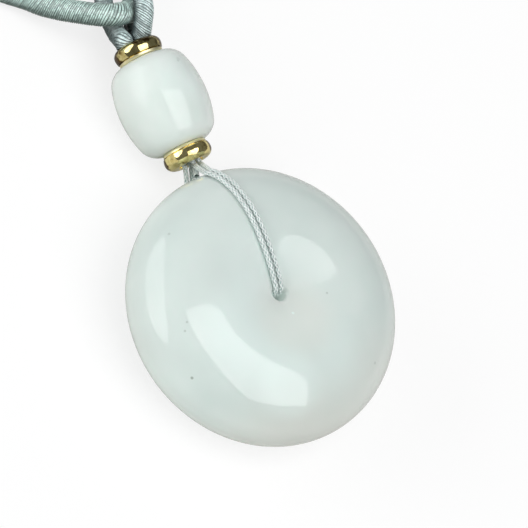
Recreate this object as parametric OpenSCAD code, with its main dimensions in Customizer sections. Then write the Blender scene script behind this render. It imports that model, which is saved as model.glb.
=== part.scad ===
// Jade disc pendant on a thread-wrapped neck cord, lying on a table.
// Millimetres, +Z up, the table at z = 0, the origin under the middle of the whole necklace.

/* [Jade disc] */
// Diameter of the disc
disc_d = 35; // [30:0.5:40]
// Thickness of the disc at its crest
disc_t = 13.5; // [11:0.5:15]
// Diameter of the crest, the thickest ring of the disc
crest_d = 18; // [15:0.5:20]
// How far the face dips from the crest to the bore's mouth
dimple_h = 1.8; // [1.2:0.1:2.4]
// Diameter of the bore through the disc
disc_bore_d = 1.8; // [1.75:0.05:2.4]
// Radius that rounds the mouths of the disc's bore
mouth_r = 0.7; // [0.5:0.1:1.2]

/* [Jade bead] */
// Largest diameter of the barrel bead
bead_d = 11.3; // [10.5:0.1:12]
// Length of the barrel bead
bead_len = 12; // [11:0.1:13]
// Radius of the long arc of the bead's side
bead_side_r = 13.6; // [11:0.1:16]
// Radius that rounds the bead's ends
bead_corner_r = 2.6; // [2:0.1:3]
// Diameter of the bead's bore
bead_bore_d = 2.2; // [2.1:0.1:2.8]

/* [Gold rings] */
// Largest diameter of a spacer ring
ring_d = 6.2; // [5.6:0.1:7]
// Height of a spacer ring with its flange
ring_h = 2.2; // [1.8:0.1:2.6]
// Diameter of the flange that sits against the bead
flange_d = 5.7; // [5.4:0.1:6.6]
// Thickness of the flange
flange_h = 0.25; // [0.2:0.05:0.5]
// Diameter of the groove between flange and band
groove_d = 5.3; // [4.8:0.1:5.6]
// Height of the groove between flange and band
groove_h = 0.05; // [0.05:0.05:0.25]
// Radius that rounds the band
band_r = 0.8; // [0.5:0.05:0.85]
// Diameter of the ring's bore
ring_bore_d = 3.2; // [3:0.1:3.4]

/* [Cords] */
// Diameter of each fine braided strand that holds the disc
strand_d = 0.75; // [0.5:0.05:0.75]
// Diameter of the wrapped cord of the hanging loop
loop_d = 2.4; // [2.2:0.05:2.4]
// Distance between the two legs of the hanging loop at the ring
leg_gap = 2.6; // [2.5:0.05:2.8]
// Diameter of the wrapped neck cord
neck_d = 2.9; // [2.6:0.05:2.9]
// Outer diameter of the sleeve that joins the neck cord's ends
sleeve_d = 4.5; // [4.1:0.1:5]
// Length of the sleeve
sleeve_len = 14; // [10:1:15]

/* [Clearances] */
// Gap between pieces strung on the same axis
stack_gap = 0.05; // [0.02:0.01:0.1]
// Gap between a strand and what it lies on, and between two strands
strand_gap = 0.04; // [0.02:0.01:0.06]
// Gap round the neck cord inside its sleeve, and between its ends
sleeve_gap = 0.08; // [0.04:0.01:0.15]

/* [How it lies] */
// Width of the neck cord's loop as it lies
neck_wide = 180; // [160:5:190]
// Length of the neck cord's loop from the hanging loop to the sleeve
neck_long = 223; // [190:1:230]
// Turn of the strands on the disc, away from the bead's side
wrap_turn = 2.6; // [0:0.2:5]
// How far the strands sway to the left where they cross the disc's rim
wrap_sway = 0.3; // [0:0.1:0.6]
// How far the bead's middle lies from the disc's middle, to the right
bead_x = 0.12; // [-0.5:0.01:0.5]
// How far the bead's middle lies behind the disc's middle
bead_y = 28.15; // [28:0.05:28.5]
// Turn of the bead's axis in plan
bead_turn = 3.5; // [2:0.5:5]
// Rise of the bead's axis towards the hanging loop
bead_rise = 4; // [3:0.5:5]

/* [Hidden] */
$fn = 96;

disc_r = disc_d / 2;
crest_r = crest_d / 2;
disc_half = disc_t / 2;
disc_bore_r = disc_bore_d / 2;
bead_r = bead_d / 2;
strand_r = strand_d / 2;
// Distance from a surface to the middle of a strand that lies on it
strand_off = strand_r + strand_gap;
// Distance from the wrap's middle plane to the middle of each strand
strand_side = (strand_d + strand_gap) / 2;

// Arc from the crest down to the mouth: its radius and the height of its middle
dip_run = crest_r - disc_bore_r;
dip_r = (dip_run * dip_run + dimple_h * dimple_h) / (2 * dimple_h);
dip_z = disc_half - dip_r;
// Rounding of the mouth: the middle of its arc and the slope at its outer end
mouth_x = disc_bore_r + mouth_r;
mouth_z = dip_z + sqrt(pow(dip_r - mouth_r, 2) - pow(crest_r - mouth_x, 2));
mouth_slope = asin((crest_r - mouth_x) / (dip_r - mouth_r));

// Middle of the bead's side arc and of its corner arcs, from the bead's axis
bead_side_x = bead_r - bead_side_r;
bead_corner_v = bead_len / 2 - bead_corner_r;
bead_corner_x = bead_side_x + sqrt(pow(bead_side_r - bead_corner_r, 2) - pow(bead_corner_v, 2));
// Height of the bead's middle when its barrel rests on the table
bead_z = bead_side_r + bead_side_x * cos(bead_rise);

// The disc leans on the strands that pass under one side of its crest, and its other side rests on the table
rim_x = disc_r - crest_r;
lean = atan((strand_d + strand_gap) / crest_d);
disc_lift = norm([rim_x * sin(lean), disc_half * cos(lean)]) - disc_half * cos(lean);

// Places along the bead's axis: the rings' inner and outer faces
ring_in = bead_len / 2 + stack_gap;
ring_out = ring_in + ring_h;

// Points given along the bead's axis, with x to the right and z up across it
function on_bead(p) =
    let (rise = [p[0], p[1] * cos(bead_rise) - p[2] * sin(bead_rise), p[1] * sin(bead_rise) + p[2] * cos(bead_rise)])
    [bead_x + rise[0] * cos(bead_turn) - rise[1] * sin(bead_turn),
     bead_y + rise[0] * sin(bead_turn) + rise[1] * cos(bead_turn),
     bead_z + rise[2]];

// Points given in the disc's own frame, with z measured from its middle plane
function on_disc(p) =
    let (y = (p[1] + crest_r) * cos(lean) - (p[2] + disc_half) * sin(lean) - crest_r,
         z = (p[1] + crest_r) * sin(lean) + (p[2] + disc_half) * cos(lean) + disc_lift)
    [p[0] * cos(wrap_turn) - y * sin(wrap_turn), p[0] * sin(wrap_turn) + y * cos(wrap_turn), z];

// The way back, from the pendant's frame to the disc's own
function off_disc(p) =
    let (x = p[0] * cos(wrap_turn) + p[1] * sin(wrap_turn),
         y = -p[0] * sin(wrap_turn) + p[1] * cos(wrap_turn) + crest_r,
         z = p[2] - disc_lift)
    [x, y * cos(lean) + z * sin(lean) - crest_r, -y * sin(lean) + z * cos(lean) - disc_half];

// Half of the disc's section, from rim to mouth, as the path of a strand's middle: [radius, height]
function rim_path(a) =
    let (n = [disc_half * cos(a), rim_x * sin(a)])
    [crest_r + rim_x * cos(a), disc_half * sin(a)] + strand_off * n / norm(n);
function dip_path(a) = [crest_r - (dip_r + strand_off) * sin(a), dip_z + (dip_r + strand_off) * cos(a)];
function mouth_path(a) = [mouth_x - (mouth_r + strand_off) * sin(a), mouth_z + (mouth_r + strand_off) * cos(a)];

// Angle on the rim where a straight strand from the point [radius, height] first touches
function touch(p, side) =
    let (u = (p[0] - crest_r) / (rim_x + strand_off), v = p[1] / (disc_half + strand_off))
    atan2(v, u) + side * acos(1 / norm([u, v]));

// One face's part of a strand's route, from the rim to the middle of the bore
function face_path(start) = concat(
    let (parts = ceil((90 - start) / 7.5)) [for (k = [0:parts]) rim_path(start + (90 - start) * k / parts)],
    [for (k = [1:4]) dip_path(mouth_slope * k / 4)],
    [for (k = [1:3]) mouth_path(mouth_slope + (90 - mouth_slope) * k / 3)],
    [[disc_bore_r - strand_off, mouth_z / 2]]);

// Where the strands run in the bore: the pair for the front above, the pair for the back below,
// and the two pairs drawn apart in the lower ring, up to the point where they leave it
strand_exit = ring_out + 0.4;
apart = [(ring_bore_d - bead_bore_d) * 0.35, (ring_bore_d - bead_bore_d) * 0.2];
function bore_point(v, x, level) =
    let (far = v < -bead_len / 2 ? 1 : 0)
    on_bead([x * (1 + 0.1 * far) + level * far * apart[0], v, level * (strand_side + far * apart[1])]);
function sway(r) = wrap_sway * pow(max(0, r - crest_r) / rim_x, 2);
function strand_half(x, level) =
    let (leave = off_disc(bore_point(-strand_exit, x, level)),
         start = level * touch([leave[1], leave[2]], level),
         face = face_path(start))
    concat(
        [for (v = [ring_out - 0.2, 6, 3, 0, -3, 0.5 - bead_len / 2, -ring_out]) bore_point(v, x, level)],
        [bore_point(-strand_exit, x, level)],
        [for (q = face) on_disc([x - sway(q[0]), sqrt(q[0] * q[0] - x * x), level * q[1]])]);
function reversed(list) = [for (k = [len(list) - 1:-1:0]) list[k]];
function strand_route(x) = concat(strand_half(x, 1), reversed(strand_half(x, -1)));

// Hanging loop: the left leg, the crown and the right leg, between its computed ends
loop_points = [
    [-1.5, 37.3, 5.85], [-1.2, 37.95, 5.1], [-0.7, 38.9, 4], [-0.15, 40, 3], [0.3, 41.3, 2.2], [0.7, 42.8, 1.65],
    [1, 44.15, 1.4], [1.45, 45.35, 1.65], [1.95, 46.2, 2.6], [2.5, 46.3, 4.1], [2.8, 45.3, 5.8], [2.6, 43.4, 7.3],
    [2.2, 41.4, 8.2], [1.8, 40, 8.45], [1.5, 39.1, 8.2], [1.25, 38.4, 7.75], [1.1, 37.85, 7.3], [1, 37.4, 6.8]];
function leg_point(side, up) = on_bead([side * leg_gap / 2, ring_out + stack_gap + up, 0]);
loop_route = concat([leg_point(-1, 0), leg_point(-1, 0.6)], loop_points, [leg_point(1, 0.6), leg_point(1, 0)]);

// Neck cord, where it runs through the hanging loop: over the left leg and down under the right one.
// Each point's third number is how far the cord is lifted off the table.
neck_crossing = [
    [-13, 50.3, 0], [-11.4, 48.8, 0.1], [-9.4, 47.2, 0.5], [-7.9, 45.4, 1.35], [-6.4, 43.8, 2.55], [-4.9, 42.35, 3.85],
    [-3.65, 41.3, 4.8], [-2.55, 40.65, 5.4], [-1.5, 40.4, 5.55], [-0.5, 40.45, 5.2], [0.5, 40.65, 4.5], [1.5, 41, 3.55],
    [2.5, 41.55, 2.5], [3.6, 42.2, 1.4], [4.9, 43, 0.5], [6.4, 44.2, 0.05], [8, 45.9, 0]];
// Neck cord, the rest of the loop on the table: shares of its width from the crossing and of its length
neck_left = [
    [-0.19, 0.985], [-0.33, 0.93], [-0.455, 0.84], [-0.53, 0.72], [-0.555, 0.585],
    [-0.52, 0.445], [-0.44, 0.315], [-0.315, 0.205], [-0.185, 0.115]];
neck_right = [
    [0.09, 0.1], [0.195, 0.21], [0.305, 0.315], [0.39, 0.43], [0.43, 0.56], [0.415, 0.7],
    [0.355, 0.825], [0.25, 0.92], [0.135, 0.98]];
neck_low_y = 41;
function neck_lay(list) = [for (p = list) [p[0] * neck_wide, neck_low_y + p[1] * neck_long, neck_d / 2]];
sleeve_at = [-0.02 * neck_wide, neck_low_y + neck_long, sleeve_d / 2];
function sleeve_point(x) = sleeve_at + [x, 0, 0];
function sleeve_slope(side) = sleeve_point(side * (sleeve_len / 2 + 8)) + [0, -0.3, (neck_d - sleeve_d) * 0.4];
neck_route = concat(
    [sleeve_point(-sleeve_gap), sleeve_point(-sleeve_len / 2 - 0.5), sleeve_slope(-1)],
    neck_lay(neck_left), [for (p = neck_crossing) p + [0, 0, neck_d / 2]], neck_lay(neck_right),
    [sleeve_slope(1), sleeve_point(sleeve_len / 2 + 0.5), sleeve_point(sleeve_gap)]);

// A smooth curve through the points, with steps no longer than the one given
function between(a, b, c, d, t) =
    ((b * 2) + (c - a) * t + (a * 2 - b * 5 + c * 4 - d) * t * t + (b * 3 - a - c * 3 + d) * t * t * t) / 2;
function smooth(p, step) =
    let (n = len(p) - 1)
    concat([for (i = [0:n - 1])
        let (a = p[max(i - 1, 0)], b = p[i], c = p[i + 1], d = p[min(i + 2, n)], parts = ceil(norm(c - b) / step))
        for (k = [0:parts - 1]) between(a, b, c, d, k / parts)], [p[n]]);

// A round tube of one radius along the points, its rings squared to the path and turned from one side direction
function unit(v) = v / norm(v);
module tube(path, radius, sides, across) {
    n = len(path);
    turn = 360 / sides;
    rings = [for (i = [0:n - 1])
        let (along = unit(path[min(i + 1, n - 1)] - path[max(i - 1, 0)]),
             u = unit(cross(across, along)),
             v = cross(along, u))
        for (k = [0:sides - 1]) path[i] + radius * (cos(k * turn) * u + sin(k * turn) * v)];
    sides_faces = [for (i = [0:n - 2]) for (k = [0:sides - 1])
        let (a = i * sides + k, b = i * sides + (k + 1) % sides)
        each [[a, a + sides, b], [b, a + sides, b + sides]]];
    first = [for (k = [0:sides - 1]) k];
    last = [for (k = [sides - 1:-1:0]) (n - 1) * sides + k];
    polyhedron(points = rings, faces = concat(sides_faces, [first, last]), convexity = 10);
}

// The neck cord's middle line, and the place that puts the whole necklace's middle at the origin
neck_path = [for (p = smooth(neck_route, 10.5)) [p[0], p[1], max(p[2], neck_d / 2)]];
neck_x = [for (p = neck_path) p[0]];
disc_front = crest_r * (1 - cos(lean)) + disc_half * sin(lean) + crest_r * cos(lean) + norm([rim_x * cos(lean), disc_half * sin(lean)]);
whole_middle = [(min(neck_x) + max(neck_x)) / 2, (sleeve_at[1] + sleeve_d / 2 - disc_front) / 2];

module pendant_place() {
    translate([-whole_middle[0], -whole_middle[1], 0]) children();
}

module disc_place() {
    pendant_place() rotate([0, 0, wrap_turn]) translate([0, -crest_r, disc_lift]) rotate([lean, 0, 0])
        translate([0, crest_r, disc_half]) children();
}

module bead_place() {
    pendant_place() translate([bead_x, bead_y, bead_z]) rotate([bead_rise, 0, bead_turn]) rotate([-90, 0, 0]) children();
}

// Outer part of the disc's section: half an ellipse from crest to crest
module rim_section() {
    intersection() {
        translate([crest_r, 0]) scale([rim_x / disc_half, 1]) circle(disc_half);
        translate([crest_r, -disc_half]) square([rim_x, disc_t]);
    }
}

// Inner part of the disc's section, between the crest and the rounded bore
module dip_section() {
    reach = 2 * dip_r;
    intersection() {
        translate([crest_r, dip_z]) circle(dip_r);
        translate([crest_r, -dip_z]) circle(dip_r);
        polygon([
            [mouth_x, -mouth_z], [mouth_x, mouth_z],
            [crest_r - reach * sin(mouth_slope), dip_z + reach * cos(mouth_slope)],
            [crest_r, dip_z + reach], [crest_r, -dip_z - reach],
            [crest_r - reach * sin(mouth_slope), -dip_z - reach * cos(mouth_slope)]]);
    }
    translate([disc_bore_r, -mouth_z]) square([mouth_r, 2 * mouth_z]);
    translate([mouth_x, mouth_z]) circle(mouth_r);
    translate([mouth_x, -mouth_z]) circle(mouth_r);
}

module jade_disc() {
    color([0.84, 0.89, 0.88]) disc_place() rotate_extrude() union() {
        rim_section();
        dip_section();
    }
}

// Section of the barrel bead: a long side arc and two corner arcs
module bead_section() {
    reach = 2 * bead_side_r / (bead_side_r - bead_corner_r);
    far_x = bead_side_x + (bead_corner_x - bead_side_x) * reach;
    far_v = bead_corner_v * reach;
    intersection() {
        union() {
            intersection() {
                translate([bead_side_x, 0]) circle(bead_side_r);
                polygon([
                    [0, -bead_corner_v], [bead_corner_x, -bead_corner_v], [far_x, -far_v],
                    [far_x, far_v], [bead_corner_x, bead_corner_v], [0, bead_corner_v]]);
            }
            translate([0, -bead_len / 2]) square([bead_corner_x, bead_len]);
            for (end = [-1, 1]) translate([bead_corner_x, end * bead_corner_v]) circle(bead_corner_r);
        }
        translate([bead_bore_d / 2, -bead_len / 2]) square([bead_d, bead_len]);
    }
}

module jade_bead() {
    color([0.89, 0.93, 0.91]) bead_place() rotate_extrude() bead_section();
}

// Spacer ring with its flange face at z = 0 and its band above
module spacer_ring() {
    band_h = ring_h - flange_h - groove_h;
    rotate_extrude() intersection() {
        union() {
            square([flange_d / 2, flange_h]);
            square([groove_d / 2, flange_h + groove_h]);
            translate([0, flange_h + groove_h]) square([ring_d / 2 - band_r, band_h]);
            translate([0, flange_h + groove_h + band_r]) square([ring_d / 2, band_h - 2 * band_r]);
            for (v = [flange_h + groove_h + band_r, ring_h - band_r]) translate([ring_d / 2 - band_r, v]) circle(band_r);
        }
        translate([ring_bore_d / 2, 0]) square([ring_d, ring_h]);
    }
}

module lower_ring() {
    color([0.83, 0.68, 0.35]) bead_place() translate([0, 0, -ring_in]) mirror([0, 0, 1]) spacer_ring();
}

module upper_ring() {
    color([0.83, 0.68, 0.35]) bead_place() translate([0, 0, ring_in]) spacer_ring();
}

module strand_left() {
    color([0.78, 0.85, 0.86]) pendant_place() tube(strand_route(-strand_side), strand_r, 8, [1, 0, 0]);
}

module strand_right() {
    color([0.78, 0.85, 0.86]) pendant_place() tube(strand_route(strand_side), strand_r, 8, [1, 0, 0]);
}

module hanging_loop() {
    color([0.6, 0.69, 0.71]) pendant_place() tube(smooth(loop_route, 1), loop_d / 2, 8, [0, 0, 1]);
}

module neck_cord() {
    color([0.6, 0.69, 0.71]) pendant_place() tube(neck_path, neck_d / 2, 8, [0, 0, 1]);
}

module cord_sleeve() {
    color([0.53, 0.62, 0.65]) pendant_place() translate(sleeve_at) rotate([0, 90, 0]) difference() {
        cylinder(h = sleeve_len, d = sleeve_d, center = true);
        cylinder(h = sleeve_len + 2, d = neck_d + 2 * sleeve_gap, center = true);
    }
}

jade_disc();
lower_ring();
jade_bead();
upper_ring();
strand_left();
strand_right();
hanging_loop();
neck_cord();
cord_sleeve();
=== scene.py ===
from math import acos, asin, atan, atan2, ceil, cos, hypot, pi, radians, sin, sqrt, tau
import bpy
import numpy as np
from mathutils import Matrix, Vector


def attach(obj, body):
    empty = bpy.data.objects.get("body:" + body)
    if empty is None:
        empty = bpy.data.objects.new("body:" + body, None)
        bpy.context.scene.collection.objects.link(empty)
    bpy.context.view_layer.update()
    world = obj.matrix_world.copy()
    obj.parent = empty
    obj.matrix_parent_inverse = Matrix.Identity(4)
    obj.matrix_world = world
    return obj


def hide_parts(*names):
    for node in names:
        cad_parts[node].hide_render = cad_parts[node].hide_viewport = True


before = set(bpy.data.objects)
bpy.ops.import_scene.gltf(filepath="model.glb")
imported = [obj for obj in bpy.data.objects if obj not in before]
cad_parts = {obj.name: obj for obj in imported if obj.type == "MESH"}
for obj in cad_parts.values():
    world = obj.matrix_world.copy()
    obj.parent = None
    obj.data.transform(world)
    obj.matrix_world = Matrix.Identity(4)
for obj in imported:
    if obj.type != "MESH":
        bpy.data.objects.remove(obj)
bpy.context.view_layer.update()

mm = 0.001
bpy.context.scene.view_settings.view_transform = "Standard"

# sizes in millimetres, the same as in the part's source; sides are the facets round a turned piece
disc = dict(across=35, thick=13.5, crest=18, dimple=1.8, bore=1.8, mouth=0.7, sides=216)
bead = dict(across=11.3, long=12, sideRadius=13.6, cornerRadius=2.6, bore=2.2, sides=144)
ring = dict(across=6.2, tall=2.2, lip=5.7, groove=5.3, bore=3.2, sides=128)
cords = dict(
    strand=0.75, strandGap=0.04, strandOut=0.4, loop=2.4, legGap=2.6, stackGap=0.05,
    neck=2.9, sleeve=4.5, sleeveLong=14, sleeveGap=0.08, sleeveOut=0.5,
    slopeAt=8, slopeIn=0.3, slopeDrop=0.4,
)
lying = dict(
    neckWide=180, neckLong=223, lowY=41, wrapTurn=2.6, wrapSway=0.3,
    beadX=0.12, beadY=28.15, beadTurn=3.5, beadRise=4, sleeveShare=-0.02,
)

# where everything lies, worked out once in the pendant's own frame

discR, crestR, discHalf, boreR = disc["across"] / 2, disc["crest"] / 2, disc["thick"] / 2, disc["bore"] / 2
beadHalf = bead["long"] / 2
strandR = cords["strand"] / 2
strandOff = strandR + cords["strandGap"]  # from a surface to the middle of a strand on it
strandSide = (cords["strand"] + cords["strandGap"]) / 2
dipRun = crestR - boreR
dipR = (dipRun**2 + disc["dimple"] ** 2) / (2 * disc["dimple"])
dipZ = discHalf - dipR
mouthR = disc["mouth"]
mouthX = boreR + mouthR
mouthZ = dipZ + sqrt((dipR - mouthR) ** 2 - (crestR - mouthX) ** 2)
mouthSlope = asin((crestR - mouthX) / (dipR - mouthR))
sideX = bead["across"] / 2 - bead["sideRadius"]
cornerV = beadHalf - bead["cornerRadius"]
cornerX = sideX + sqrt((bead["sideRadius"] - bead["cornerRadius"]) ** 2 - cornerV**2)
rise, turn, wrapTurn = (radians(lying[k]) for k in ("beadRise", "beadTurn", "wrapTurn"))
beadZ = bead["sideRadius"] + sideX * cos(rise)
rimX = discR - crestR
lean = atan((cords["strand"] + cords["strandGap"]) / disc["crest"])  # the disc rests on its strands
discLift = hypot(rimX * sin(lean), discHalf * cos(lean)) - discHalf * cos(lean)
ringIn = beadHalf + cords["stackGap"]
ringOut = ringIn + ring["tall"]


# a place on the bead: x across, v along its axis, z up
def onBead(x, v, z):
    y, up = v * cos(rise) - z * sin(rise), v * sin(rise) + z * cos(rise)
    return (
        lying["beadX"] + x * cos(turn) - y * sin(turn),
        lying["beadY"] + x * sin(turn) + y * cos(turn),
        beadZ + up,
    )


# a place on the disc, measured from its own middle plane
def onDisc(x, y, z):
    y, z = (
        (y + crestR) * cos(lean) - (z + discHalf) * sin(lean) - crestR,
        (y + crestR) * sin(lean) + (z + discHalf) * cos(lean) + discLift,
    )
    return (x * cos(wrapTurn) - y * sin(wrapTurn), x * sin(wrapTurn) + y * cos(wrapTurn), z)


# the way back: how far out and how high on the disc a place is
def offDisc(p):
    y, z = -p[0] * sin(wrapTurn) + p[1] * cos(wrapTurn) + crestR, p[2] - discLift
    return y * cos(lean) + z * sin(lean) - crestR, -y * sin(lean) + z * cos(lean) - discHalf


def arc(cx, cz, r, a):
    return cx - r * sin(a), cz + r * cos(a)


# the rounded rim, at a strand's distance from its surface
def rimPath(a):
    nx, nz = discHalf * cos(a), rimX * sin(a)
    k = strandOff / hypot(nx, nz)
    return crestR + rimX * cos(a) + nx * k, discHalf * sin(a) + nz * k


# the dish and then the rounded mouth of the bore, from the crest inwards, off by a distance from the surface
def dishPath(off, dishParts, mouthParts):
    dish = [arc(crestR, dipZ, dipR + off, mouthSlope * k / dishParts) for k in range(1, dishParts + 1)]
    mouth = [
        arc(mouthX, mouthZ, mouthR + off, mouthSlope + (pi / 2 - mouthSlope) * k / mouthParts)
        for k in range(1, mouthParts + 1)
    ]
    return dish + mouth


# a strand's route over one face of the disc, from the rim to the middle of the bore
overDisc = dict(rimStep=3.75, dishParts=8, mouthParts=6)


def facePath(start):
    parts = ceil((pi / 2 - start) / radians(overDisc["rimStep"]))
    rim = [rimPath(start + (pi / 2 - start) * k / parts) for k in range(parts + 1)]
    inwards = dishPath(strandOff, overDisc["dishParts"], overDisc["mouthParts"])
    return rim + inwards + [(boreR - strandOff, mouthZ / 2)]


# the strands spread below the bead, where the ring's bore is wider
strandExit = ringOut + cords["strandOut"]
spread = dict(wider=0.1, aside=(ring["bore"] - bead["bore"]) * 0.35, up=(ring["bore"] - bead["bore"]) * 0.2)
boreStops = (ringOut - 0.2, 6, 3, 0, -3, 0.5 - beadHalf, -ringOut, -strandExit)


def borePoint(v, x, level):
    far = 1 if v < -beadHalf else 0
    across = x * (1 + spread["wider"] * far) + level * far * spread["aside"]
    return onBead(across, v, level * (strandSide + far * spread["up"]))


# one face's half of a strand: level is 1 over the disc's front and -1 over its back
def strandHalf(x, level):
    leave = offDisc(borePoint(-strandExit, x, level))
    u, v = (leave[0] - crestR) / (rimX + strandOff), leave[1] / (discHalf + strandOff)
    start = level * (atan2(v, u) + level * acos(1 / hypot(u, v)))
    sway = lambda r: lying["wrapSway"] * (max(0, r - crestR) / rimX) ** 2
    bore = [borePoint(v, x, level) for v in boreStops]
    face = [onDisc(x - sway(r), sqrt(r**2 - x**2), level * h) for r, h in facePath(start)]
    return bore + face


def strandRoute(x):
    return strandHalf(x, 1) + strandHalf(x, -1)[::-1]


# the hanging loop stands on the upper ring with both legs and goes round the neck cord
legRise = 0.6
legPoint = lambda side, up: onBead(side * cords["legGap"] / 2, ringOut + cords["stackGap"] + up, 0)
loopRoute = [
    legPoint(-1, 0), legPoint(-1, legRise),
    (-1.5, 37.3, 5.85), (-1.2, 37.95, 5.1), (-0.7, 38.9, 4), (-0.15, 40, 3), (0.3, 41.3, 2.2),
    (0.7, 42.8, 1.65), (1, 44.15, 1.4), (1.45, 45.35, 1.65), (1.95, 46.2, 2.6), (2.5, 46.3, 4.1),
    (2.8, 45.3, 5.8), (2.6, 43.4, 7.3), (2.2, 41.4, 8.2), (1.8, 40, 8.45), (1.5, 39.1, 8.2),
    (1.25, 38.4, 7.75), (1.1, 37.85, 7.3), (1, 37.4, 6.8),
    legPoint(1, legRise), legPoint(1, 0),
]

# the neck cord's way through the loop, each height what it is lifted off the table there
crossing = [
    (-13, 50.3, 0), (-11.4, 48.8, 0.1), (-9.4, 47.2, 0.5), (-7.9, 45.4, 1.35), (-6.4, 43.8, 2.55),
    (-4.9, 42.35, 3.85), (-3.65, 41.3, 4.8), (-2.55, 40.65, 5.4), (-1.5, 40.4, 5.55), (-0.5, 40.45, 5.2),
    (0.5, 40.65, 4.5), (1.5, 41, 3.55), (2.5, 41.55, 2.5), (3.6, 42.2, 1.4), (4.9, 43, 0.5),
    (6.4, 44.2, 0.05), (8, 45.9, 0),
]
onLoop = 7  # the crossing's point that lies on the hanging loop

# the rest of its way round, in shares of its width and length
leftShares = [
    (-0.19, 0.985), (-0.33, 0.93), (-0.455, 0.84), (-0.53, 0.72), (-0.555, 0.585),
    (-0.52, 0.445), (-0.44, 0.315), (-0.315, 0.205), (-0.185, 0.115),
]
rightShares = [
    (0.09, 0.1), (0.195, 0.21), (0.305, 0.315), (0.39, 0.43), (0.43, 0.56),
    (0.415, 0.7), (0.355, 0.825), (0.25, 0.92), (0.135, 0.98),
]
neckR = cords["neck"] / 2
sleeveAt = (lying["sleeveShare"] * lying["neckWide"], lying["lowY"] + lying["neckLong"], cords["sleeve"] / 2)
sleevePoint = lambda x: (sleeveAt[0] + x, sleeveAt[1], sleeveAt[2])
sleeveHalf = cords["sleeveLong"] / 2
sleeveExit = sleeveHalf + cords["sleeveOut"]


def onTable(shares):
    return [(x * lying["neckWide"], lying["lowY"] + y * lying["neckLong"], neckR) for x, y in shares]


# beside the sleeve the cord comes down to the table
def sleeveSlope(side):
    x, y, z = sleevePoint(side * (sleeveHalf + cords["slopeAt"]))
    return x, y - cords["slopeIn"], z + (cords["neck"] - cords["sleeve"]) * cords["slopeDrop"]


neckRoute = (
    [sleevePoint(-cords["sleeveGap"]), sleevePoint(-sleeveExit), sleeveSlope(-1)]
    + onTable(leftShares) + [(x, y, z + neckR) for x, y, z in crossing] + onTable(rightShares)
    + [sleeveSlope(1), sleevePoint(sleeveExit), sleevePoint(cords["sleeveGap"])]
)


# a smooth curve through the points, as in the source
def smooth(points, step):
    p, out = np.array(points, float), []
    n = len(p) - 1
    for i in range(n):
        a, b, c, d = p[max(i - 1, 0)], p[i], p[i + 1], p[min(i + 2, n)]
        parts = ceil(np.linalg.norm(c - b) / step)
        for k in range(parts):
            t = k / parts
            cubic = 2 * b + (c - a) * t + (2 * a - 5 * b + 4 * c - d) * t * t + (3 * b - a - 3 * c + d) * t**3
            out.append(cubic / 2)
    return np.array(out + [p[n]])


# the place that puts the whole necklace's middle at the origin, found on the source's own coarser curve
sourceStep = 10.5
coarseNeck = smooth(neckRoute, sourceStep)
discFront = (
    crestR * (1 - cos(lean)) + discHalf * sin(lean) + crestR * cos(lean)
    + hypot(rimX * cos(lean), discHalf * sin(lean))
)
neckBack = sleeveAt[1] + cords["sleeve"] / 2
middle = np.array([(coarseNeck[:, 0].min() + coarseNeck[:, 0].max()) / 2, (neckBack - discFront) / 2, 0])
inPart = Matrix.Translation(Vector(-middle))
beadPlace = (
    inPart @ Matrix.Translation((lying["beadX"], lying["beadY"], beadZ))
    @ Matrix.Rotation(turn, 4, "Z") @ Matrix.Rotation(rise - pi / 2, 4, "X")
)
discPlace = (
    inPart @ Matrix.Rotation(wrapTurn, 4, "Z") @ Matrix.Translation((0, -crestR, discLift))
    @ Matrix.Rotation(lean, 4, "X") @ Matrix.Translation((0, crestR, discHalf))
)


# a place given in the pendant's own frame, in metres of the part
def partSpot(spot):
    return inPart @ Vector(spot) * mm


print("places worked out, the pendant's own origin lies at", [round(float(-v), 2) for v in middle], "mm")

# camera, as the pendant was photographed: near the disc, from its lower left
view = dict(
    stands=(-206.95, -73.94, 341.41), looksAt=(1.58, 4.14, 9.11), up=(0.2596, 0.8911, 0.3723),
    lens=225.56, sensor=36, near=0.01, far=20,
)
stands, looksAt = partSpot(view["stands"]), partSpot(view["looksAt"])
back = (stands - looksAt).normalized()
side = Vector(view["up"]).cross(back).normalized()
camera = bpy.data.objects.new("camera", bpy.data.cameras.new("camera"))
facingBack = Matrix((side, back.cross(side), back)).transposed().to_4x4()
camera.matrix_world = Matrix.Translation(stands) @ facingBack
camera.data.lens, camera.data.sensor_width = view["lens"], view["sensor"]
camera.data.clip_start, camera.data.clip_end = view["near"], view["far"]
bpy.context.scene.collection.objects.link(camera)
bpy.context.scene.camera = camera
print("camera stands")


# materials


# an output socket of a finish; sums on it add its Math nodes
class Wire:
    def __init__(self, finish, socket):
        self.finish, self.socket = finish, socket

    def math(self, operation, *values):
        return self.finish.node("ShaderNodeMath", dict(operation=operation), dict(enumerate(values)))

    def __add__(self, other):
        return self.math("ADD", self, other)

    def __sub__(self, other):
        return self.math("SUBTRACT", self, other)

    def __rsub__(self, other):
        return self.math("SUBTRACT", other, self)

    def __mul__(self, other):
        return self.math("MULTIPLY", self, other)

    def __abs__(self):
        return self.math("ABSOLUTE", self)

    __radd__, __rmul__ = __add__, __mul__


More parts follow.
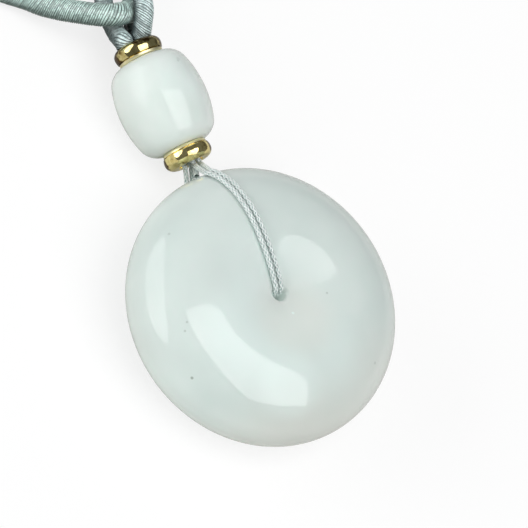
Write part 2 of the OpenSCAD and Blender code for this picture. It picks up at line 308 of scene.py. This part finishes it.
# a material, and the nodes that are added to it
class Finish:
    def __init__(self, name, **values):
        self.material = bpy.data.materials.new(name)
        self.material.use_nodes = True
        self.tree = self.material.node_tree
        self.shader = self.tree.nodes["Principled BSDF"]
        self.set(**values)

    # values or links on the shader's own sockets, named without their spaces
    def set(self, **values):
        for socket in self.shader.inputs:
            key = socket.name.replace(" ", "")
            if key in values:
                self.feed(socket, values[key])
        return self

    def feed(self, socket, value):
        if isinstance(value, Wire):
            self.tree.links.new(value.socket, socket)
        else:
            socket.default_value = (*value, 1) if socket.type == "RGBA" else value

    def node(self, kind, settings=None, sockets=None, output=0):
        made = self.tree.nodes.new(kind)
        for key, value in (settings or {}).items():
            setattr(made, key, value)
        for key, value in (sockets or {}).items():
            self.feed(made.inputs[key], value)
        return Wire(self, made.outputs[output])

    def place(self):
        return self.node("ShaderNodeTexCoord", output="Object")

    def noise(self, scale, detail, roughness=0.5):
        sockets = dict(Vector=self.place(), Scale=scale, Detail=detail, Roughness=roughness)
        return self.node("ShaderNodeTexNoise", None, sockets)

    def mix(self, amount, a, b):
        return self.node("ShaderNodeMix", dict(data_type="RGBA"), {"Factor": amount, 6: a, 7: b}, output=2)

    def vector(self, operation, a, b, output="Vector"):
        return self.node("ShaderNodeVectorMath", dict(operation=operation), {0: a, 1: b}, output=output)

    def steps(self, value, low, high):  # 0 at low and 1 at high, soft between
        sockets = {"Value": value, "From Min": low, "From Max": high}
        return self.node("ShaderNodeMapRange", dict(interpolation_type="SMOOTHSTEP"), sockets)

    def near(self, spot, size):  # 1 at a place on the pendant, fading to 0 at its size; both in millimetres
        away = self.vector("DISTANCE", self.place(), partSpot(spot), output="Value")
        return self.steps(away, size * mm, size * mm * 0.35)

    def bump(self, height, strength, distance, **under):
        sockets = dict(Height=height, Strength=strength, Distance=distance, **under)
        return self.node("ShaderNodeBump", None, sockets)

    def glow(self, strength):
        return self.node("ShaderNodeEmission", None, dict(Color=(1, 1, 1), Strength=strength))

    def matt(self, colour):
        return self.node("ShaderNodeBsdfDiffuse", None, dict(Color=colour))

    def between(self, amount, a, b):
        return self.node("ShaderNodeMixShader", None, {0: amount, 1: a, 2: b})

    def show(self, shader):  # a shader of its own in place of the first one
        self.feed(self.tree.nodes["Material Output"].inputs["Surface"], shader)


# milky jade: pale grey-green, a little light under its skin, polished
# pale is the tone of the painted light marks
jadeTones = dict(
    body=(0.665, 0.755, 0.725), cloud=(0.725, 0.80, 0.77), pale=(0.82, 0.93, 0.895),
    warm=(0.75, 0.73, 0.67), speck=(0.36, 0.42, 0.38),
)
underSkin = (0.0032, 0.0036, 0.0034)  # how far each colour of light goes into the stone


def jadeFinish(name, tones, cloudScale, marksAndPaintedLight, dull, bores=(), shine=1.5, haze=0.06):
    jade = Finish(
        name, SpecularIORLevel=0, Roughness=0.4, CoatIOR=shine, CoatRoughness=haze,
        SubsurfaceWeight=0.6, SubsurfaceRadius=underSkin, SubsurfaceScale=1.0,
    )
    clouds = jade.steps(jade.noise(cloudScale, 3, 0.55), 0.38, 0.66)
    veins = jade.steps(jade.noise(cloudScale * 4, 4, 0.6), 0.52, 0.75)
    colour = jade.mix(clouds * 0.75 + veins * 0.15, tones["body"], tones["cloud"])
    # marks of tone: specks and warm patches are the stone's own, the larger pale marks are painted light
    for tone, spot, size, amount in marksAndPaintedLight:
        colour = jade.mix(jade.near(spot, size) * amount, colour, tones[tone])
    polish = 1 - 0.1 * clouds
    for spot, size, amount in dull:  # where the stone is polished less well
        polish = polish - amount * jade.near(spot, size)
    paintedBoreGlow = (0, 0, 0)
    for spot, size in bores:  # a painted glow in each bore, lightening its shade
        paintedBoreGlow = jade.mix(jade.near(spot, size), paintedBoreGlow, tones["body"])
    skin = jade.bump(jade.noise(900, 2), 0.03, 0.0001)
    return jade.set(
        BaseColor=colour, CoatWeight=polish, EmissionColor=paintedBoreGlow, EmissionStrength=0.2, Normal=skin,
    )


# gilding mottled bright and deep, and brown where the mottle runs high; brown painted shade is added near the
# rings' ends; beside the bead it is paler and satin
goldTones = dict(
    bright=(0.97, 0.84, 0.4), deep=(0.66, 0.5, 0.16), brown=(0.10, 0.055, 0.015), pale=(1, 0.92, 0.62),
)
beadMiddle, beadAxis = partSpot(onBead(0, 0, 0)), beadPlace.to_3x3() @ Vector((0, 0, 1))


def goldFinish(name, browned, paintedShadeScale, lipEnd):
    gold = Finish(name, Metallic=1, IOR=1.4)
    mottle = gold.noise(1300, 4, 0.65)
    waves = gold.bump(gold.noise(420, 2), 0.55, 0.00025)
    shades = [tuple(v * paintedShadeScale for v in goldTones[tone]) for tone in ("bright", "deep")]
    colour = gold.mix(gold.steps(mottle, 0.42, 0.62) * 0.65, *shades)
    brown = 0.0
    # brown painted shade near the rings' ends, added to the mottle's own brown
    for spot, size, amount in browned:
        brown = gold.near(spot, size) * amount + brown
    brown = gold.steps(brown * 0.5 + mottle * 1.1, 0.62, 0.86)
    colour = gold.mix(brown, colour, goldTones["brown"])
    # beside the bead the gilding is paler: a painted reflection of the bead
    fromBead = gold.vector("SUBTRACT", gold.place(), beadMiddle)
    along = gold.vector("DOT_PRODUCT", fromBead, beadAxis, output="Value")
    lip = gold.steps(abs(along), (lipEnd + 0.1) * mm, (lipEnd - 0.04) * mm)
    colour = gold.mix(lip * 0.85, colour, goldTones["pale"])
    fine = gold.bump(gold.noise(5200, 2), 0.05, 0.00004, Normal=waves)
    return gold.set(BaseColor=colour, Roughness=0.09 + 0.16 * brown + 0.3 * lip, Normal=fine)


# silk thread; the cords carry each point's height between its threads, a chance shade for each thread
# and how far it faces up; the valleys between threads and the sides facing down take the dark tone as painted
# shade
def silkFinish(name, light, dark, contrast, sides, sheen=0):
    silk = Finish(name, SheenWeight=sheen, SheenRoughness=0.4, IOR=1.3, CoatIOR=1.95, CoatRoughness=0.3)
    thread = dict(Color=silk.node("ShaderNodeAttribute", dict(attribute_name="thread")))
    height, chance, up = (silk.node("ShaderNodeSeparateColor", None, thread, output=n) for n in range(3))
    fibre = silk.noise(4200, 3, 0.6)
    # painted shade: the valleys between threads take the dark tone
    colour = silk.mix(silk.steps(height, 0.2, 1.0), dark, light)
    dim = silk.steps(chance * 0.25 + silk.noise(2300, 3, 0.6), 0.54, 0.74)
    colour = silk.mix(dim * contrast, colour, tuple(v * 0.3 for v in light))
    # painted shade: the sides that face down take the dark tone
    shaded = silk.steps(up, 0.92, 0.46) * sides
    colour = silk.mix(shaded, colour, dark)
    gloss = (1 - shaded) * (1 - dim * contrast * 0.6)
    relief = silk.bump(fibre, 0.3, 0.00003)
    return silk.set(BaseColor=colour, CoatWeight=gloss, Roughness=0.22 + 0.2 * fibre, Normal=relief)


def wear(piece, finish):
    piece.data.materials.clear()
    piece.data.materials.append(finish.material)


# turned pieces


def clearSelection():
    if bpy.context.object and bpy.context.object.mode != "OBJECT":
        bpy.ops.object.mode_set(mode="OBJECT")
    bpy.ops.object.select_all(action="DESELECT")


def selectOpenEdges():
    bpy.ops.mesh.select_all(action="DESELECT")
    bpy.ops.mesh.select_mode(type="EDGE")
    bpy.ops.mesh.select_non_manifold(
        extend=False, use_wire=False, use_boundary=True,
        use_multi_face=False, use_non_contiguous=False, use_verts=False,
    )


def faceOutwards():
    bpy.ops.mesh.select_all(action="SELECT")
    bpy.ops.mesh.normals_make_consistent(inside=False)
    bpy.ops.object.mode_set(mode="OBJECT")


# a turned piece: a circle drawn out and resized row by row round its section, then bridged shut
def turned(name, rows, sides, place):
    clearSelection()
    r, h = rows[0]
    bpy.ops.mesh.primitive_circle_add(vertices=sides, radius=r, location=(0, 0, h))
    piece = bpy.context.active_object
    piece.name = piece.data.name = name
    bpy.ops.object.transform_apply(location=True, rotation=True, scale=True)
    bpy.ops.object.mode_set(mode="EDIT")
    bpy.ops.mesh.select_all(action="SELECT")
    for nextR, nextH in rows[1:]:
        bpy.ops.mesh.extrude_region_move(TRANSFORM_OT_translate=dict(value=(0, 0, nextH - h)))
        if abs(nextR - r) > 1e-9:
            bpy.ops.transform.resize(value=(nextR / r, nextR / r, 1), center_override=(0, 0, nextH))
        r, h = nextR, nextH
    selectOpenEdges()
    bpy.ops.mesh.bridge_edge_loops()
    faceOutwards()
    bpy.ops.object.shade_smooth_by_angle(angle=radians(40))
    piece.data.transform(Matrix.Scale(mm, 4) @ place)
    piece.data.update()
    return piece


# points of an arc, its angles measured from the radius line
def sweep(cx, cz, r, start, end, parts):
    return [(cx + r * cos(a), cz + r * sin(a)) for a in np.linspace(start, end, parts + 1)]


# a section's upper half, its point on the middle plane, and the upper half's mirror image
def mirrored(half, inner):
    return half + [(inner, 0)] + [(r, -h) for r, h in half[::-1]][:-1]


# jade disc: a thick ring with a shallow dish to a small bore on both faces
rimParts, dishParts, mouthParts = 28, 16, 7
topHalf = [(crestR + rimX * cos(a), discHalf * sin(a)) for a in np.linspace(0, pi / 2, rimParts + 1)]
topHalf += dishPath(0, dishParts, mouthParts)
jadeDisc = turned("jade_disc_polished", mirrored(topHalf, boreR), disc["sides"], discPlace)
# on the disc the larger pale marks are painted light: a brighter top face, brighter rims and brighter ends of
# the highlight
discLook = dict(
    marksAndPaintedLight=[  # tone, place, size, amount
        ("pale", (-5.95, -3.64, 13.63), 8.5, 0.6), ("pale", (-1.8, 3.8, 13.8), 7, 0.4),
        ("pale", (-16.2, -7, 3.5), 8.5, 0.8), ("pale", (-10.5, -14.5, 3.5), 9.5, 1),
        ("pale", (-9, 15.5, 5), 8, 0.6), ("pale", (1.3, -9.6, 13.6), 7, 0.3),
        ("warm", (-0.4, -4.3, 13), 7, 0.3), ("warm", (-4, -17, 5), 13, 0.45), ("warm", (9, -15, 6), 12, 0.35),
        ("speck", (-10.67, 10.43, 12.18), 0.26, 0.35), ("speck", (-14.95, -6.63, 10.5), 0.25, 0.9),
        ("speck", (-13.75, -0.55, 12.75), 0.2, 0.45), ("speck", (-14.29, -1.42, 12.39), 0.2, 0.45),
        ("pale", (-4.7, -11.7, 13), 5.5, 0.5), ("pale", (0.1, -3.52, 12.79), 0.25, 0.9),
        ("speck", (5.23, -2.65, 13.49), 0.2, 0.45), ("speck", (8.35, -12.32, 11.8), 0.25, 0.35),
    ],
    dull=[((0, -0.6, 12.3), 7.8, 0.6), ((-14.3, 6.8, 11), 6, 0.3)],
    # the bore gets a painted glow that lightens its shade
    bores=[((0, -0.6, 10.6), 2.4)],
)
wear(jadeDisc, jadeFinish("milky jade", jadeTones, 55, **discLook))
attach(jadeDisc, "root")
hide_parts("jade_disc")
print("disc turned,", len(jadeDisc.data.polygons), "faces")

# jade bead: a barrel with a long side arc and rounded ends, its bore with a softened mouth
sideParts, cornerParts = 18, 14
sideEnd = atan2(cornerV, cornerX - sideX)
beadBore = bead["bore"] / 2
halfBead = (
    sweep(sideX, 0, bead["sideRadius"], 0, sideEnd, sideParts)
    + sweep(cornerX, cornerV, bead["cornerRadius"], sideEnd, pi / 2, cornerParts)[1:]
    + [(beadBore + 0.25, beadHalf), (beadBore + 0.07, beadHalf - 0.05), (beadBore, beadHalf - 0.25)]
)
jadeBead = turned("jade_bead_polished", mirrored(halfBead, beadBore), bead["sides"], beadPlace)
beadTones = dict(jadeTones, body=(0.75, 0.832, 0.79), cloud=(0.805, 0.872, 0.838))
beadLook = dict(
    # the pale marks are painted light on the bead, beside its highlight
    marksAndPaintedLight=[
        ("pale", (0.6, 29.4, 11.2), 4, 0.4), ("pale", (2.2, 27, 11), 3, 0.2),
        ("speck", (1.66, 31.56, 10.7), 0.4, 0.2), ("speck", (1.45, 31.3, 10.85), 0.25, 0.25),
    ],
    dull=[((-4.6, 30.3, 8.7), 4.2, 0.45)],
    shine=1.43, haze=0.065,
)
wear(jadeBead, jadeFinish("pale jade", beadTones, 110, **beadLook))
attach(jadeBead, "root")
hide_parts("jade_bead")
print("bead turned,", len(jadeBead.data.polygons), "faces")

# gold spacer rings: a lip that faces the bead, a fine groove, a band that widens away from the bead
# and rounds over
section = dict(lipTall=0.35, edge=0.06, bandRadius=1.9, bandTall=1.2, roundRadius=1.05, inner=0.2)
outer, lipR, grooveR, ringBore = (ring[k] / 2 for k in ("across", "lip", "groove", "bore"))
lipTall, bandTall, bandR, roundR = (section[k] for k in ("lipTall", "bandTall", "bandRadius", "roundRadius"))
edge, inner = section["edge"], section["inner"]
roundTall = ring["tall"] - bandTall
ringRows = (
    [(ringBore + edge, 0), (lipR - 0.16, 0), (lipR - 0.11, 0.02), (lipR - 0.055, 0.12), (lipR - 0.02, 0.21)]
    + [(lipR, lipTall - 0.01), (lipR - 0.02, lipTall + 0.02), (lipR - 0.06, lipTall + 0.03)]
    + [(grooveR + 0.04, lipTall + 0.05), (grooveR + 0.06, lipTall + 0.1)]
    + sweep(outer - bandR, bandTall, bandR, -asin((bandTall - lipTall - 0.16) / bandR), 0, 9)
    + [(outer - roundR * (1 - cos(a)), bandTall + roundTall * sin(a)) for a in np.linspace(0, pi / 2, 14)[1:]]
    + sweep(ringBore + inner, ring["tall"] - inner, inner, pi / 2, pi, 4)
    + [(ringBore, ring["tall"] / 2), (ringBore, edge)]
)
# places near the rings' ends that get brown painted shade: spot on the bead, size, amount
browned = [(onBead(*spot), size, amount) for spot, size, amount in (
    ((-3, 7.6, -1.1), 2.3, 0.8), ((2.4, 7.5, 2), 2.1, 0.75), ((0.2, 8.4, 2.5), 1.7, 0.6),
    ((-1, 8.4, 2.2), 1.4, 0.5), ((-3, -7.1, -1.2), 1.3, 0.9), ((2.6, -7.1, 1.8), 1.4, 0.85),
)]
rings = {  # node: its place on the bead's axis, and how bright its gilding is; the upper ring's darker gold is painted shade, the lower's slightly lighter gold painted light
    "lower_ring": (Matrix.Translation((0, 0, -ringIn)) @ Matrix.Diagonal((1, 1, -1, 1)), 1.03),
    "upper_ring": (Matrix.Translation((0, 0, ringIn)), 0.76),
}
for node, (place, paintedShadeScale) in rings.items():
    piece = turned(node + "_gold", ringRows, ring["sides"], beadPlace @ place)
    if node == "lower_ring":  # its place turns it inside out
        piece.data.flip_normals()
    name = "gilding with painted shade of the " + node.replace("_", " ")
    wear(piece, goldFinish(name, browned, paintedShadeScale, ringIn + lipTall))
    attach(piece, "root")
    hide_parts(node)
print("rings turned,", len(piece.data.polygons), "faces each")


# cords


# a route measured along its length, with a side and an up direction carried along it
class Route:
    def __init__(self, points, lowest=None, fine=0.12):
        p = smooth(points, fine)
        if lowest is not None:
            p[:, 2] = np.maximum(p[:, 2], lowest)
        self.points = p
        gaps = np.linalg.norm(np.diff(p, axis=0), axis=1)
        self.at = np.concatenate([[0], np.cumsum(gaps)])
        self.length = self.at[-1]
        along = np.gradient(p, axis=0)
        along /= np.linalg.norm(along, axis=1)[:, None]
        sides = np.zeros_like(p)
        u = np.cross(along[0], (0, 0, 1) if abs(along[0][2]) < 0.9 else (1, 0, 0))
        for i, t in enumerate(along):
            u = u - t * np.dot(u, t)
            u = u / np.linalg.norm(u)
            sides[i] = u
        self.sides, self.ups = sides, np.cross(along, sides)

    # points at a distance along, an angle round and a radius out, all arrays of one shape
    def put(self, s, angle, radius):
        s = np.clip(s, 0, self.length)
        read = lambda rows: np.stack([np.interp(s, self.at, rows[:, k]) for k in range(3)], -1)
        mid, u, v = read(self.points), read(self.sides), read(self.ups)
        u /= np.linalg.norm(u, axis=-1)[..., None]
        v /= np.linalg.norm(v, axis=-1)[..., None]
        return mid + radius[..., None] * (np.cos(angle)[..., None] * u + np.sin(angle)[..., None] * v)

    # how far points face up: 1 on top of the cord, 0 underneath
    def facing(self, points, s, angle, radius):
        return 0.5 + 0.5 * (points - self.put(s, angle, 0 * radius))[..., 2] / radius


# what the silk finishes read at each point: height, chance shade, how far it faces up
def markThreads(mesh, shades):
    layer = mesh.color_attributes.new("thread", "FLOAT_COLOR", "POINT")
    layer.data.foreach_set("color", np.concatenate([shades, np.ones((len(shades), 1))], 1).ravel())


def cordMesh(name, points, faces, shades):
    mesh = bpy.data.meshes.new(name)
    mesh.from_pydata(((points - middle) * mm).tolist(), [], faces.tolist())
    markThreads(mesh, shades)
    piece = bpy.data.objects.new(name, mesh)
    bpy.context.scene.collection.objects.link(piece)
    return piece


# how threads lie: each wanders a little, and stands a little higher or lower than its neighbours, and
# the power of its ridge makes its back flatter
laid = dict(wander=0.07, tall=0.16, ridge=0.6)


# thread wound round a cord: rows of points follow the threads, so each thread is a ridge of its own;
# starts is how many are wound side by side, below 0 for a winding of the other hand
def wound(route, seed, across, thread, starts, sides, rows, depth, span=None):
    low, high = span or (0, route.length)
    rng = np.random.default_rng(seed)
    way, starts = (1 if starts > 0 else -1), abs(starts)
    turns = int(round((high - low) / thread))
    thread = (high - low) / turns
    lead = starts * thread
    first = -starts * rows
    count = turns * rows + starts * rows + 1
    i = np.arange(first, first + count)[:, None]
    k = np.arange(sides)[None, :]
    angle = way * k * tau / sides + 0 * i
    which = np.floor(i / rows).astype(int) - np.floor(first / rows).astype(int)
    many = which.max() + 2
    tall = rng.normal(0, 1, (many, 3))
    phase = rng.uniform(0, tau, (many, 3))
    wander = sum(np.sin(k * tau / sides * (m + 1) + phase[which, m]) * tall[which, m] for m in range(3))
    ridge = np.abs(np.sin(pi * (i % rows) / rows)) ** laid["ridge"] + 0 * k
    s = low + i * thread / rows + lead * k / sides
    s = np.clip(s + thread * laid["wander"] * wander, low, high)
    lowered = depth * laid["tall"] * (1 + np.clip(wander, -2, 1) * ridge) * 0.5
    r = across / 2 - depth * (1 - ridge) - lowered
    points = route.put(s, angle, r)
    up = route.facing(points, s, angle, r)
    chance = np.clip(0.5 + 0.22 * (tall[which, 0] + 0 * k) + 0.1 * wander, 0, 1)
    shades = np.stack([ridge, chance, up], -1).reshape(-1, 3)
    # faces between rows, the last column joining the row one lead further on
    a = np.arange(count - 1)[:, None] * sides + k
    shift = starts * rows
    seam = (np.arange(count - 1) + shift)[:, None] * sides
    b = np.where(k == sides - 1, seam, a + 1)
    keep = np.ones_like(a, bool)
    keep[:, sides - 1] = np.arange(count - 1) + shift < count - 1
    faces = np.stack([a, b, b + sides, a + sides], -1)[keep]
    if way < 0:
        faces = faces[:, ::-1]
    return points.reshape(-1, 3), faces, shades


def joined(parts):
    points, faces, shades, base = [], [], [], 0
    for p, f, c in parts:
        points.append(p)
        faces.append(f + base)
        shades.append(c)
        base += len(p)
    return np.concatenate(points), np.concatenate(faces), np.concatenate(shades)


weldWithin, dropUnder = 0.000002, 0.000001  # metres


def closeEnds(piece):
    clearSelection()
    piece.select_set(True)
    bpy.context.view_layer.objects.active = piece
    bpy.ops.object.mode_set(mode="EDIT")
    bpy.ops.mesh.select_all(action="SELECT")
    bpy.ops.mesh.remove_doubles(threshold=weldWithin)
    bpy.ops.mesh.dissolve_degenerate(threshold=dropUnder)
    selectOpenEdges()
    bpy.ops.mesh.fill_holes(sides=0)
    faceOutwards()
    bpy.ops.object.shade_smooth()


# each silk: its tones on a thread and between threads, how much the threads vary, how dark its sides are; the
# tone between threads and the dark sides are painted shade
silkLooks = dict(
    wound=dict(light=(0.76, 1, 0.93), dark=(0.01, 0.035, 0.03), contrast=0.7, sides=0.75),
    loop=dict(light=(0.81, 1, 0.99), dark=(0.01, 0.025, 0.03), contrast=0.7, sides=0.85, sheen=0.1),
    braided=dict(light=(0.95, 1, 0.985), dark=(0.57, 0.72, 0.69), contrast=0.15, sides=0.1, sheen=0.15),
    # shaded: nearly black silk for the painted shadow behind the loop
    shaded=dict(light=(0.035, 0.045, 0.045), dark=(0.005, 0.008, 0.01), contrast=0.8, sides=0.5),
)
silk = silkFinish("wound silk", **silkLooks["wound"])
loopSilk = silkFinish("wound silk of the loop", **silkLooks["loop"])
paleSilk = silkFinish("braided silk", **silkLooks["braided"])
shadowSilk = silkFinish("shaded silk", **silkLooks["shaded"])

# hanging loop, its threads laid at a slant
loop = dict(across=cords["loop"], thread=0.25, starts=-12, sides=28, rows=6, depth=0.12)
loopLine = Route(loopRoute)
loopPiece = cordMesh("hanging_loop_wound", *wound(loopLine, 5, **loop))
closeEnds(loopPiece)
wear(loopPiece, loopSilk)
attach(loopPiece, "root")
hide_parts("hanging_loop")
print("hanging loop wound,", round(loopLine.length, 1), "mm")

# a dark wound piece behind the loop's crotch: a painted shadow put where there is only shade
shadowFill = dict(across=1.56, thread=0.24, starts=2, sides=24, rows=6, depth=0.08)
shadowFillRoute = [(1.22, 38.05, 3.4), (1.5, 38.65, 3.3), (2, 39.3, 2.75), (2.6, 39.95, 2), (3.1, 40.35, 1.35)]
shadowFillPiece = cordMesh("loop_shadow_fill", *wound(Route(shadowFillRoute, fine=0.05), 6, **shadowFill))
closeEnds(shadowFillPiece)
wear(shadowFillPiece, shadowSilk)
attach(shadowFillPiece, "root")

# neck cord: the stretch round the loop is wound finely, the rest of the way more plainly
neck = dict(across=cords["neck"], thread=0.27, starts=-11, sides=28, rows=6, depth=0.12)
plainNeck = dict(neck, sides=14, rows=3)
nearLong = 62
neckLine = Route(neckRoute, neckR)
crossSpot = np.array(crossing[onLoop]) + (0, 0, neckR)
crossAt = neckLine.at[np.argmin(np.linalg.norm(neckLine.points - crossSpot, axis=1))]
nearLow, nearHigh = crossAt - nearLong * 0.5, crossAt + nearLong * 0.5
nearPiece = cordMesh("neck_cord_near", *wound(neckLine, 7, **neck, span=(nearLow, nearHigh)))
farPiece = cordMesh("neck_cord_far", *joined([
    wound(neckLine, seed, **plainNeck, span=span)
    for seed, span in ((8, (0, nearLow)), (9, (nearHigh, neckLine.length)))
]))
for piece in (nearPiece, farPiece):
    closeEnds(piece)
    wear(piece, silk)
    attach(piece, "root")
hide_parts("neck_cord")
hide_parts("neck_cord")
print("neck cord wound,", round(neckLine.length, 1), "mm")

# braided strands: eight flat threads, four each way round, over one and under one, on a core that takes the
# silk's dark tone as painted shade between the threads
braid = dict(
    threads=8, sides=5, lead=3.2, step=0.14, middle=0.235,
    weave=0.035, wide=0.125, thick=0.075, core=0.2,
)


def braided(route, seed):
    rng = np.random.default_rng(seed)
    parts = []
    sides, count = braid["sides"], int(route.length / braid["step"])
    s = np.linspace(0, route.length, count)
    column = np.arange(sides)
    around = (column * tau / sides)[None, :]
    rows = np.arange(count - 1)[:, None] * sides
    grid, after = rows + column[None, :], rows + (column[None, :] + 1) % sides
    tube = np.stack([grid, after, after + sides, grid + sides], -1).reshape(-1, 4)
    for n in range(braid["threads"]):
        way, slot = (1 if n % 2 else -1), n // 2
        angle = way * tau * s / braid["lead"] + slot * pi / 2 + 0.06 * np.sin(s * 1.7 + n)
        over = way * np.cos(braid["threads"] * pi * s / braid["lead"])
        r = braid["middle"] + braid["weave"] * over + 0.008 * np.sin(s * 2.3 + n * 2)
        a = angle[:, None] + braid["wide"] / braid["middle"] * np.cos(around) * 0.9
        out = r[:, None] + braid["thick"] * np.sin(around)
        at = s[:, None] + 0 * a
        p = route.put(at, a, out)
        up = route.facing(p, at, a, out)
        # a thread's inner side and where it passes under get less height, and so painted shade
        depth = np.clip(0.5 + 0.5 * np.sin(around) * 0.6 + 0.25 * over[:, None], 0, 1)
        chance = np.clip(0.45 + 0.25 * rng.normal() + 0 * depth, 0, 1)
        parts.append((p.reshape(-1, 3), tube, np.stack([depth, chance, up], -1).reshape(-1, 3)))
    a = around + 0 * s[:, None]
    core = route.put(s[:, None] + 0 * a, a, braid["core"] + 0 * a)
    # the core's zero height and downward facing give it the dark tone: painted shade
    parts.append((core.reshape(-1, 3), tube, np.zeros((count * sides, 3))))
    return joined(parts)


for node, x, seed in (("strand_left", -strandSide, 11), ("strand_right", strandSide, 12)):
    line = Route(strandRoute(x))
    piece = cordMesh(node + "_braided", *braided(line, seed))
    closeEnds(piece)
    wear(piece, paleSilk)
    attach(piece, "root")
    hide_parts(node)
print("strands braided,", round(line.length, 1), "mm each")

# a short tie of thread between the strands, where they leave the lower ring
tie = dict(across=0.72, thread=0.16, starts=3, sides=16, rows=4, depth=0.05)
tieRoute = [(0.75, 19.15, 5.1), (0.6, 18.75, 5.35), (0.35, 18.35, 5.6), (0.12, 17.97, 5.78)]
tiePiece = cordMesh("strand_tie", *wound(Route(tieRoute, fine=0.05), 3, **tie))
closeEnds(tiePiece)
wear(tiePiece, paleSilk)
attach(tiePiece, "root")

# sleeve that joins the neck cord's ends, whipped with thread; its ends round over and its bore opens a little
whip = dict(
    thread=0.5, depth=0.1, rows=5, sides=56, begin=0.02,
    roundOver=0.5, drop=0.3, endIn=0.35, mouthIn=0.3, mouthWide=0.25,
)
outR, inR = cords["sleeve"] / 2, neckR + cords["sleeveGap"]
sleeveMouth = [(inR, sleeveHalf - whip["mouthIn"]), (inR + whip["mouthWide"], sleeveHalf)]
sleeveEnd = sleeveMouth + [(outR - whip["endIn"], sleeveHalf)]
whipRows = [(r, -h) for r, h in sleeveEnd]
for t in range(int(cords["sleeveLong"] / whip["thread"])):
    for k in range(whip["rows"]):
        h = -sleeveHalf + (t + k / whip["rows"]) * whip["thread"] + whip["begin"]
        inFrom = min(1, (sleeveHalf - abs(h)) / whip["roundOver"])
        groove = whip["depth"] * (1 - abs(sin(pi * k / whip["rows"])) ** laid["ridge"])
        whipRows.append((outR - whip["drop"] * (1 - sqrt(inFrom * (2 - inFrom))) - groove, h))
whipRows += sleeveEnd[::-1]
sleevePlace = inPart @ Matrix.Translation(sleeveAt) @ Matrix.Rotation(pi / 2, 4, "Y")
sleevePiece = turned("cord_sleeve_whipped", whipRows, whip["sides"], sleevePlace)
fromAxis = np.array([v.co[:] for v in sleevePiece.data.vertices]) / mm + middle - np.array(sleeveAt)
outward = np.hypot(fromAxis[:, 1], fromAxis[:, 2])
height = np.clip((outward - outR + whip["depth"]) / whip["depth"], 0, 1)
markThreads(sleevePiece.data, np.stack([height, 0.5 + 0 * height, 0.5 + 0.5 * fromAxis[:, 2] / outward], 1))
wear(sleevePiece, silk)
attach(sleevePiece, "root")
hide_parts("cord_sleeve")
print("sleeve whipped")

# stage

# the paper looks white, and throws less light back on the pendant than it shows
floorLook = dict(
    size=6, glow=1.03, matt=0.25, pale=(0.95, 0.95, 0.95), grain=(0.92, 0.92, 0.92),
    throws=(0.72, 0.715, 0.68),
)
clearSelection()
bpy.ops.mesh.primitive_plane_add(size=floorLook["size"], location=(0, 0, 0))
floor = bpy.context.active_object
floor.name = "floor"
paper = Finish("pale floor")
grain = paper.mix(paper.noise(300, 3, 0.6) * 0.3, floorLook["pale"], floorLook["grain"])
seen = paper.between(floorLook["matt"], paper.glow(floorLook["glow"]), paper.matt(grain))
felt = paper.matt(floorLook["throws"])
paper.show(paper.between(paper.node("ShaderNodeLightPath", output="Is Camera Ray"), felt, seen))
wear(floor, paper)

# an overhead soft box, its corners and height in metres from the disc
discSpot = partSpot((0, 0, 10))
overhead = dict(
    farLeft=(-0.43, 0.215), farRight=(0.475, 0.115), nearRight=(0.60, -1.45), nearLeft=(-0.36, -1.12),
    height=1.0, glow=3.05,
)
clearSelection()
bpy.ops.mesh.primitive_plane_add(size=1, location=(0, 0, 0))
box = bpy.context.active_object
box.name = "soft_box"
for vert, corner in zip(box.data.vertices, ("nearLeft", "nearRight", "farLeft", "farRight")):
    vert.co = discSpot + Vector((*overhead[corner], overhead["height"]))
glowing = Finish("soft box")
glowing.show(glowing.glow(overhead["glow"]))
wear(box, glowing)
box.visible_camera = box.visible_shadow = False

# a round window to the left, its turn and rise in degrees as seen from the disc
window = dict(turn=143, rise=16.5, away=1.2, size=(1.62, 0.87), glow=2.75)
windowTurn, windowRise = radians(window["turn"]), radians(window["rise"])
toWindow = Vector((cos(windowTurn) * cos(windowRise), sin(windowTurn) * cos(windowRise), sin(windowRise)))
light = bpy.data.lights.new("window", "AREA")
light.shape = "ELLIPSE"
light.size, light.size_y = window["size"]
light.energy = window["glow"] * pi * pi / 4 * window["size"][0] * window["size"][1]
holder = bpy.data.objects.new("window", light)
holder.location = discSpot + toWindow * window["away"]
holder.rotation_euler = toWindow.to_track_quat("Z", "Y").to_euler()
holder.visible_camera = False
bpy.context.scene.collection.objects.link(holder)

# the room: white behind the pendant, dim all round it
dimLight = dict(colour=(0.95, 0.98, 1, 1), strength=0.14)
world = bpy.data.worlds.new("studio")
world.use_nodes = True
bpy.context.scene.world = world
tree = world.node_tree
room = tree.nodes["Background"]
room.inputs["Color"].default_value = dimLight["colour"]
room.inputs["Strength"].default_value = dimLight["strength"]
wall = tree.nodes.new("ShaderNodeBackground")
wall.inputs["Color"].default_value = (1, 1, 1, 1)
chosen, eye = tree.nodes.new("ShaderNodeMixShader"), tree.nodes.new("ShaderNodeLightPath")
tree.links.new(eye.outputs["Is Camera Ray"], chosen.inputs[0])
tree.links.new(room.outputs[0], chosen.inputs[1])
tree.links.new(wall.outputs[0], chosen.inputs[2])
tree.links.new(chosen.outputs[0], tree.nodes["World Output"].inputs["Surface"])
print("stage lit")
